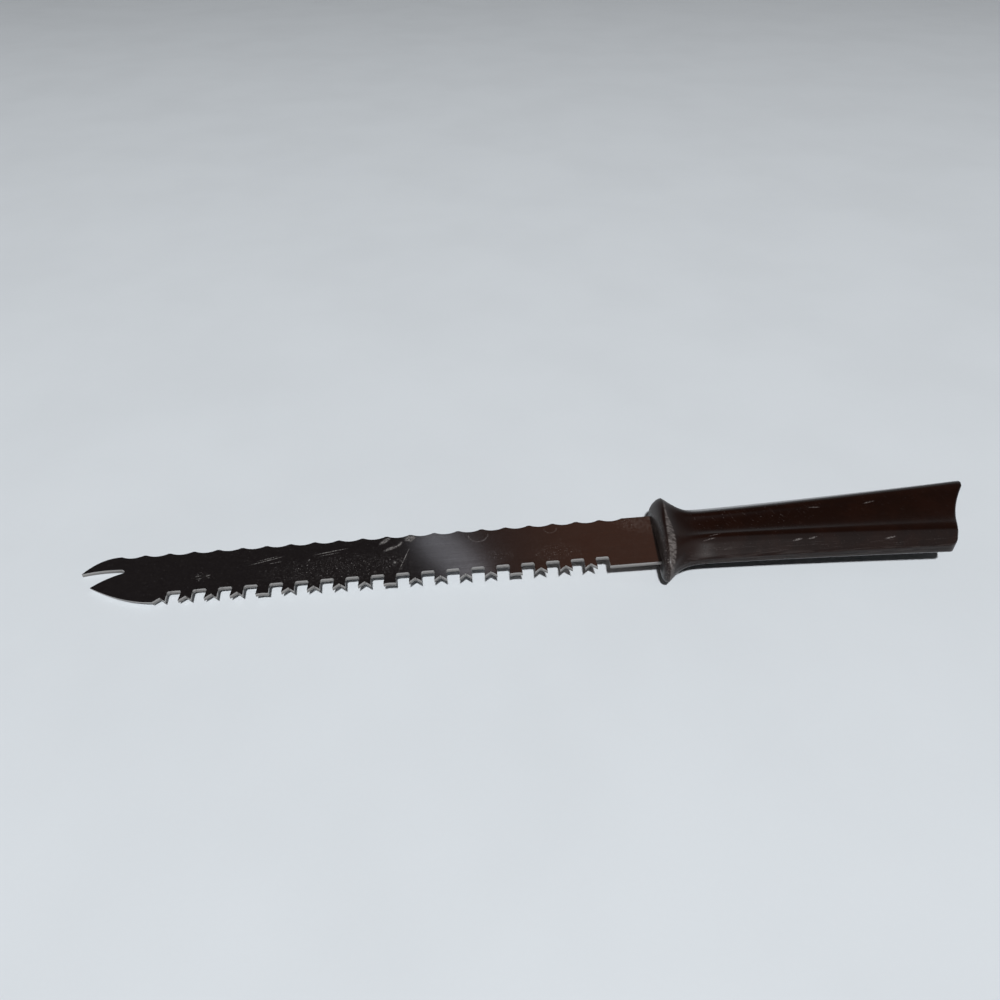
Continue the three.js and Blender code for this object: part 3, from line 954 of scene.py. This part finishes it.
def handle_half(name, form, sign):
    """One half of the handle as a closed mesh with a rounded rim at the butt."""
    handle = form.handle
    shape = bmesh.new()
    floor = handle.seam_gap / 2
    lines = []
    for station in section_stations():
        rows = rows_to(handle, form.trim(station, handle.rim_round))
        line = [form.point(x, station) for x in rows]
        for row in range(1, RIM_ROWS + 1):
            turn = math.pi / 2 * row / RIM_ROWS
            inset = handle.rim_round * (1 - math.cos(turn))
            end = form.trim(station, handle.rim_round * (1 - math.sin(turn)), inset)
            line.append(form.point(end, station, inset))
        lines.append([shape.verts.new(place) for place in line])
    for one, two in zip(lines, lines[1:]):
        for k in range(len(one) - 1):
            shape.faces.new((one[k], one[k + 1], two[k + 1], two[k]))
    feet = {}
    for end in (0, -1):
        heads = [line[end] for line in lines]
        feet[end] = [shape.verts.new((head.co.x, head.co.y, floor)) for head in heads[2:-2]]
        foot = [heads[0]] + feet[end] + [heads[-1]]
        for k, (one, two) in enumerate(zip(foot, foot[1:]), start=1):
            shape.faces.new((heads[k], heads[k + 1], two, one))
    shape.faces.new(lines[0] + feet[-1] + lines[-1][::-1] + feet[0][::-1])
    bmesh.ops.scale(shape, vec=(1, 1, sign), verts=shape.verts)
    bmesh.ops.recalc_face_normals(shape, faces=shape.faces)
    mesh = bpy.data.meshes.new(name)
    shape.to_mesh(mesh)
    shape.free()
    return new_object(name, mesh)


def make_handle():
    handle = settings().handle
    blade = settings().blade
    plastic = handle_plastic()
    gap = handle.slot_gap
    bed = [flat(-blade.heel_length, blade.width / 2 + gap)] + tang_end(blade, gap)
    bed += [flat(-blade.heel_length, -blade.width / 2 - gap)]
    deep = blade.thickness / 2 + gap
    halves = (("grip_upper", "handle_upper_half", 1), ("grip_lower", "handle_lower_half", -1))
    for name, node, sign in halves:
        made = handle_half(name, HandleForm(handle), sign)
        cut_out(made, prism("bed", bed, -deep, deep))
        bore(made, pin_places(), handle.pin_diameter / 2 + gap, handle.pin_length + 2 * gap)
        made.data.materials.clear()
        made.data.materials.append(plastic)
        smooth_by_angle(made.data, HANDLE_SMOOTHING)
        made.data.transform(lay_down())
        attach(made, BODY)
        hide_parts(node)


def finish_material(name):
    """A new material, its graph, and a point on the surface in the knife's own millimetres."""
    material = bpy.data.materials.new(name)
    material.use_nodes = True
    material.node_tree.nodes.clear()
    graph = Graph(material.node_tree)
    laid = lay_down()
    values = {
        "Vector": graph.add("ShaderNodeTexCoord", {}, {}, "Object"),
        "Location": laid.to_translation(),
        "Rotation": laid.to_euler(),
        "Scale": (MM, MM, MM),
    }
    point = graph.add("ShaderNodeMapping", {"vector_type": "TEXTURE"}, values)
    return material, graph, point


def close_material(graph, values):
    surface = graph.add("ShaderNodeBsdfPrincipled", {}, values)
    graph.add("ShaderNodeOutputMaterial", {}, {"Surface": surface})


def bumped(graph, height, millimetres):
    """A normal that follows a height from 0 to 1 over a real depth."""
    return graph.add("ShaderNodeBump", {}, {"Height": height, "Distance": millimetres * MM})


def oval(graph, point, middle, reach, turn=0.0):
    """1 in the middle of an oval body and 0 outside it."""
    values = {"Vector": point, "Location": middle, "Rotation": (0, 0, turn), "Scale": reach}
    mapped = graph.add("ShaderNodeMapping", {"vector_type": "TEXTURE"}, values)
    choices = {"gradient_type": "SPHERICAL"}
    return graph.add("ShaderNodeTexGradient", choices, {"Vector": mapped}, "Fac")


def spot(graph, point, middle, reach, turn=0.0):
    """An oval that goes straight through the thickness."""
    return oval(graph, point, (*middle, 0), (*reach, THROUGH), turn)


def streak(graph, point, start, end, width):
    """A thin oval from one point to another."""
    run = flat(*end) - flat(*start)
    middle = (flat(*end) + flat(*start)) / 2
    return spot(graph, point, middle, (run.length / 2, width / 2), math.atan2(run.y, run.x))


def joined(masks):
    """The strongest of several masks."""
    whole = masks[0]
    for mask in masks[1:]:
        whole = whole.largest(mask)
    return whole


def marked(graph, point, make, marks, clear, full):
    """All the marks of one kind as one mask."""
    return joined([make(graph, point, *mark).fade(clear, full) for mark in marks])


def speckles(graph, point, per_mm, radius, kept):
    """Small dots, of which a share is kept."""
    values = {"Vector": point, "Scale": per_mm}
    near = graph.add("ShaderNodeTexVoronoi", {}, values, "Distance")
    pick = graph.add("ShaderNodeTexVoronoi", {}, values, "Color").part("X")
    return near.fade(radius, radius * SPECKLE_CORE) * (pick < kept)


# Marks of use on the blade's upper face, in the knife's own millimetres: start, end and width
SCRATCHES = (
    ((-156.5, 2.4), (-142.0, 6.3), 0.55),
    ((-153.5, 4.2), (-144.5, 6.6), 0.35),
    ((-148.5, 2.5), (-143.0, 3.4), 0.35),
    ((-132.5, 5.3), (-117.5, 8.0), 0.6),
    ((-130.0, 4.4), (-121.0, 6.0), 0.35),
    ((-94.3, 6.6), (-98.8, -7.2), 0.5),
)
SMEARS = (
    ((-107.0, 7.9), (-101.6, 12.6), 2.6),
    ((-105.4, 4.2), (-98.0, 7.6), 2.2),
    ((-99.8, 6.0), (-97.4, 9.6), 1.8),
    ((-97.6, 10.3), (-91.6, 11.0), 5.0),
    ((-133.4, 2.0), (-132.6, 3.8), 1.0),
    ((-100.9, -0.6), (-99.7, -3.1), 1.3),
    ((-175.4, -1.3), (-172.6, -0.9), 0.6),
    ((-174.6, -2.7), (-172.2, -2.4), 0.5),
    ((-171.4, -1.5), (-169.2, -0.8), 0.6),
)
DUSTINGS = (
    ((-172.5, -1.6), (4.5, 3.0)),
    ((-39.0, -3.4), (13.0, 6.0)),
    ((-60.5, -2.4), (7.0, 5.0)),
    ((-8.0, 9.5), (8.0, 4.0)),
    ((-120.0, -3.0), (38.0, 9.0)),
)
RINGS = (((-68.0, 9.6), 4.2), ((-39.7, 10.0), 2.7))


def face_steel():
    """Rolled and polished strip with fine lines along it, scratches, smears and dust, and a painted warm
    reflection on the heel.
    """
    finish = settings().finish
    material, graph, point = finish_material("face_steel")
    lines = graph.lines(point, (0.035, 5.0, 1.0))
    clouds = graph.noise(point, 0.09, 3.0, 0.6)
    grain = graph.noise(point, 1.7, 3.0, 0.65)
    ragged = grain.fade(0.36, 0.6)
    upper = point.part("Z").fade(0, 0.1)

    scratched = marked(graph, point, streak, SCRATCHES, 0, 0.5) * ragged * upper
    smeared = marked(graph, point, streak, SMEARS, 0.05, 0.7) * upper
    smeared = smeared * graph.noise(point, 1.8, 4.0, 0.7).fade(0.38, 0.6)
    rings = []
    for middle, radius in RINGS:
        disc = spot(graph, point, middle, (radius, radius))
        below = point.part("Y").fade(middle[1] + 0.5, middle[1] - 0.5)
        rings.append(disc.fade(0.02, 0.08) * disc.fade(0.2, 0.1) * below)
    ringed = joined(rings) * upper * ragged * 0.3
    dusty = marked(graph, point, spot, DUSTINGS, 0, 0.6)
    dust = speckles(graph, point, 2.2, 0.36, 0.35) * (dusty * 0.9 + 0.1)
    specks = speckles(graph, point, 0.9, 0.28, 0.2) * (dusty * 0.7 + 0.13)
    corner = spot(graph, point, (-3, 10), (13, 9)).fade(0, 0.7) * upper
    film = graph.noise(point, 0.9, 5.0, 0.7).fade(0.4, 0.7) * (corner * 0.12 + dusty * 0.02 + 0.01)
    marks = joined([scratched * 0.6, smeared * 0.7, ringed, dust * 0.36, specks * 0.5, film])

    # The heel's brown tint is a painted warm reflection, put into the steel's colour
    heel = point.part("X").fade(-80, -25)
    reflection = heel * (clouds * 0.6 + 0.5)
    reflection_tinted = graph.tint(reflection * 0.85, finish.steel, finish.warm_reflection)
    dull = lines.fade(0.3, 0.7) * 0.25 + grain.fade(0.35, 0.65) * 0.2
    bare = graph.tint(dull, reflection_tinted, finish.residue)
    close_material(graph, {
        "Base Color": graph.tint(marks, bare, finish.residue),
        "Metallic": 1 - marks * 0.8,
        "Roughness": 0.05 + clouds * 0.04 + lines * 0.07 + grain * 0.02 + marks * 0.45,
        "Normal": bumped(graph, lines * 0.7 + grain * 0.3 + marks * 0.5, 0.003),
    })
    return material


def cut_steel():
    """A stamped wall: bright and smooth above, torn and dull below, with fine lines across the strip."""
    finish = settings().finish
    material, graph, point = finish_material("cut_steel")
    lines = graph.lines(point, (4.0, 4.0, 0.6))
    grain = graph.noise(point, 3.0, 3.0, 0.6)
    height = point.part("Z") + (lines - 0.5) * 0.5
    torn = height.fade(0.25, -0.05)
    rolled = point.part("Z").fade(0.6, 0.72)
    close_material(graph, {
        "Base Color": graph.tint(torn * 0.85, finish.sheared, finish.torn),
        "Metallic": 1 - torn * 0.35,
        "Roughness": 0.3 + torn * 0.25 - rolled * 0.08,
        "Normal": bumped(graph, lines + grain * torn, 0.02),
    })
    return material


def ground_steel():
    """Hollow ground faces with the wheel's fine scratches running out to the edge."""
    finish = settings().finish
    material, graph, point = finish_material("ground_steel")
    lines = graph.lines(point, (7.0, 0.15, 0.3), 4.0, 0.65)
    clouds = graph.noise(point, 0.3, 2.0)
    close_material(graph, {
        "Base Color": graph.tint(clouds, finish.ground, finish.steel),
        "Metallic": 1.0,
        "Roughness": 0.2 + lines * 0.16,
        "Normal": bumped(graph, lines, 0.01),
    })
    return material


def pin_steel():
    """Drawn wire with lines along it."""
    finish = settings().finish
    material, graph, point = finish_material("pin_steel")
    lines = graph.lines(point, (6.0, 6.0, 0.2), roughness=0.5)
    close_material(graph, {
        "Base Color": graph.tint(lines * 0.5, finish.pin, finish.torn),
        "Metallic": 1.0,
        "Roughness": 0.28 + lines * 0.2,
        "Normal": bumped(graph, lines, 0.008),
    })
    return material


# Marks of use on the upper half of the handle, in the knife's own millimetres: start, end and width
SCUFFS = (
    ((48.4, -11.0), (53.0, -10.5), 0.8),
    ((54.2, -10.9), (58.6, -10.4), 0.7),
    ((82.4, -13.4), (87.6, -12.9), 0.8),
    ((82.0, 5.4), (88.0, 6.6), 0.8),
    ((15.0, -8.4), (21.0, -7.2), 0.7),
    ((17.5, -6.6), (23.5, -5.4), 0.6),
    ((60.0, 5.6), (65.5, 5.2), 0.7),
    ((24.0, 7.2), (28.5, 8.6), 0.6),
)


def handle_plastic():
    """Dark brown moulded plastic, clouded and rubbed, worn pale on the guard's crest; its pale seam lines
    are wear and painted highlight.
    """
    finish = settings().finish
    handle = settings().handle
    material, graph, point = finish_material("handle_plastic")
    x = point.part("X")
    y = point.part("Y")
    z = point.part("Z")
    clouds = graph.noise(point, 0.11, 3.0, 0.6)
    grain = graph.noise(point, 2.2, 4.0, 0.65)
    fine = graph.noise(point, 7.0, 2.0, 0.6)
    turned = graph.add("ShaderNodeMapping", {}, {"Vector": point, "Rotation": (0, 0, HATCH_TURN)})
    hatch = graph.lines(turned, (2.6, 0.35, 1.0))
    ragged = grain.fade(0.4, 0.62)

    # The pale wear follows the crest, is broadest towards the toothed side and runs out at both ends
    crest = handle.guard_crest / MM + y * math.tan(handle.guard_slant)
    bow = (1 - ((y + 8) / 15) ** 2).largest(0.25)
    stretch = y.fade(14, 9) * y.fade(-23, -19)
    off_crest = abs(x - crest - bow * 1.1) - bow * 1.6 + (grain - 0.5) * 0.9
    striae = graph.lines(point, (0.25, 1.2, 0.6), 4.0, 0.7).fade(0.4, 0.6)
    crest_wear = off_crest.fade(0.25, -0.4) * stretch * (striae * 0.85 + 0.15)
    dust = joined([speckles(graph, point, 1.4, 0.42, 0.45), grain.fade(0.48, 0.68) * 0.5])
    front_dust = x.fade(2.6, 0.8) * dust
    # Pale lines along the side and the facet: rubbing, and also a painted highlight along the rim at the
    # seam
    lengthwise = graph.lines(point, (0.06, 2.5, 2.5))
    seam_sheen_and_wear = abs(z).fade(2.6, 1.6) * lengthwise.fade(0.45, 0.62)
    facet_sheen_and_wear = abs(z).fade(5.0, 3.0) * lengthwise.fade(0.57, 0.64) * grain.fade(0.4, 0.6)

    scuffs = marked(graph, point, streak, SCUFFS, 0, 0.6) * ragged * z.fade(0, 1)
    worn_grip = spot(graph, point, (38, 3), (34, 12)).fade(0, 0.6) * 0.75 + 0.25
    dashes = hatch.fade(0.6, 0.68) * grain.fade(0.46, 0.62) * worn_grip
    dots = speckles(graph, point, 0.9, 0.25, 0.12) * worn_grip
    matt = x.fade(22, 8)
    lines = joined([seam_sheen_and_wear * 0.12, facet_sheen_and_wear * 0.12])
    pale = joined([crest_wear, lines, scuffs * 0.8, dashes * 0.32, dots * 0.26, front_dust * 0.9])

    skin = graph.tint(clouds.fade(0.42, 0.62), finish.plastic, finish.plastic_red)
    height = grain * 0.4 + fine * 0.25 + striae * crest_wear * 1.5 - pale * 0.3
    close_material(graph, {
        "Base Color": graph.tint(pale, skin, finish.wear_and_sheen),
        "Roughness": 0.12 + clouds * 0.05 + grain * 0.04 + matt * 0.22 + pale * 0.35,
        "Specular IOR Level": 0.3,
        "Normal": bumped(graph, height, 0.03),
    })
    return material


def make_pins():
    finish = pin_steel()
    for name in ("tang_pin_front", "tang_pin_rear"):
        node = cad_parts[name]
        node.data.materials.clear()
        node.data.materials.append(finish)


def floor_finish():
    """Pale painted board with the faintest clouding."""
    finish = settings().finish
    material, graph, point = finish_material("floor")
    clouds = graph.noise(point, 0.012, 3.0, 0.55)
    grain = graph.noise(point, 0.5, 3.0, 0.6)
    darker = [channel * FLOOR_CLOUD for channel in finish.floor]
    clouded = clouds.fade(0.3, 0.75) * 0.6 + grain * 0.25
    close_material(graph, {
        "Base Color": graph.tint(clouded, finish.floor, darker),
        "Roughness": 0.55 + grain * 0.1,
        "Normal": bumped(graph, grain, 0.02),
    })
    return material


def make_floor(stage):
    half = stage.floor_size / 2
    outline = [flat(-half, -half), flat(half, -half), flat(half, half), flat(-half, half)]
    floor = prism("floor", outline, -half * FLOOR_DEPTH - stage.floor_gap, -stage.floor_gap)
    floor.data.materials.append(floor_finish())


def make_camera(stage):
    blade = settings().blade
    horn = Vector((-blade.length, blade.width / 2 - blade.horn_drop, blade.thickness / 2))
    data = bpy.data.cameras.new("camera")
    data.lens = stage.lens
    data.sensor_width = stage.sensor
    camera = new_object("camera", data)
    camera.location = lay_down() @ horn + Vector(stage.camera_place)
    camera.rotation_euler = Euler((math.pi / 2 - stage.camera_pitch, 0, -stage.camera_yaw))
    bpy.context.scene.camera = camera


def area_lamp(name, shape, width, power, location):
    """A lamp that shines at the middle of the knife."""
    data = bpy.data.lights.new(name, "AREA")
    data.shape = shape
    data.size = width
    data.energy = power
    lamp = new_object(name, data)
    lamp.location = location
    lamp.rotation_euler = (KNIFE_MIDDLE - lamp.location).to_track_quat("-Z", "Y").to_euler()
    return lamp


def make_lamps(stage):
    turn = Euler((-stage.lamp_height, 0, -stage.lamp_turn))
    location = KNIFE_MIDDLE + turn.to_matrix() @ Vector((0, -stage.lamp_distance, 0))
    area_lamp("key_lamp", "DISK", stage.lamp_size, stage.lamp_power, location)
    strip = area_lamp("strip_lamp", "RECTANGLE", stage.strip_width, stage.strip_power, stage.strip_place)
    strip.data.size_y = stage.strip_height
    strip.data.color = stage.strip_colour
    strip.rotation_euler.rotate_axis("Z", stage.strip_lean)


def make_sky(stage):
    """Soft light all round, with a dark wall behind the knife and a warm part in it."""
    world = bpy.data.worlds.new("studio")
    bpy.context.scene.world = world
    world.use_nodes = True
    world.node_tree.nodes.clear()
    graph = Graph(world.node_tree)
    towards = graph.add("ShaderNodeTexCoord", {}, {}, "Generated")
    wall = oval(graph, towards, *DARK_WALL).fade(0.05, 0.42)
    warm = oval(graph, towards, *WARM_PART).fade(0, 0.5)
    dark = graph.tint(warm, stage.shade, stage.glow)

    def ray(kind):
        return graph.add("ShaderNodeLightPath", {}, {}, kind)

    mirrored = ray("Is Glossy Ray").largest(ray("Is Transmission Ray"))
    around = graph.tint(mirrored, stage.sky, stage.backdrop)
    shown = graph.tint(ray("Is Camera Ray"), graph.tint(wall, around, dark), stage.backdrop)
    lit = graph.add("ShaderNodeBackground", {}, {"Color": shown})
    graph.add("ShaderNodeOutputWorld", {}, {"Surface": lit})


class CARVING_OT_blade(bpy.types.Operator):
    """Make the saw blade"""

    bl_idname = "carving_saw.blade"
    bl_label = "Saw blade"

    def execute(self, context):
        make_blade()
        return {"FINISHED"}


class CARVING_OT_handle(bpy.types.Operator):
    """Make the two halves of the handle"""

    bl_idname = "carving_saw.handle"
    bl_label = "Handle halves"

    def execute(self, context):
        make_handle()
        return {"FINISHED"}


class CARVING_OT_pins(bpy.types.Operator):
    """Finish the pins of the tang"""

    bl_idname = "carving_saw.pins"
    bl_label = "Tang pins"

    def execute(self, context):
        make_pins()
        return {"FINISHED"}


class CARVING_OT_stage(bpy.types.Operator):
    """Make the floor, the camera, the lamps and the sky"""

    bl_idname = "carving_saw.stage"
    bl_label = "Stage"

    def execute(self, context):
        stage = settings().stage
        make_floor(stage)
        make_camera(stage)
        make_lamps(stage)
        make_sky(stage)
        context.scene.view_settings.view_transform = "Standard"
        return {"FINISHED"}


class CARVING_PT_panel(bpy.types.Panel):
    """The pieces of the knife and their sizes"""

    bl_idname = "CARVING_PT_panel"
    bl_label = "Carving Saw"
    bl_space_type = "VIEW_3D"
    bl_region_type = "UI"
    bl_category = "Carving Saw"

    def draw(self, context):
        layout = self.layout
        for operator in OPERATORS:
            layout.operator(operator.bl_idname)
        for group in ("blade", "handle", "finish", "stage"):
            box = layout.box()
            box.label(text=group.capitalize())
            values = getattr(context.scene.carving_saw, group)
            for name in values.__annotations__:
                box.prop(values, name)


OPERATORS = (CARVING_OT_blade, CARVING_OT_handle, CARVING_OT_pins, CARVING_OT_stage)
GROUPS = (BladeSizes, HandleSizes, FinishColours, StageSizes, KnifeSettings)
CLASSES = (*GROUPS, *OPERATORS, CARVING_PT_panel)


def register():
    for each in CLASSES:
        bpy.utils.register_class(each)
    bpy.types.Scene.carving_saw = PointerProperty(type=KnifeSettings)


def unregister():
    del bpy.types.Scene.carving_saw
    for each in reversed(CLASSES):
        bpy.utils.unregister_class(each)


def main():
    register()
    bpy.ops.carving_saw.stage()
    bpy.ops.carving_saw.blade()
    bpy.ops.carving_saw.handle()
    bpy.ops.carving_saw.pins()


if __name__ == "__main__":
    main()
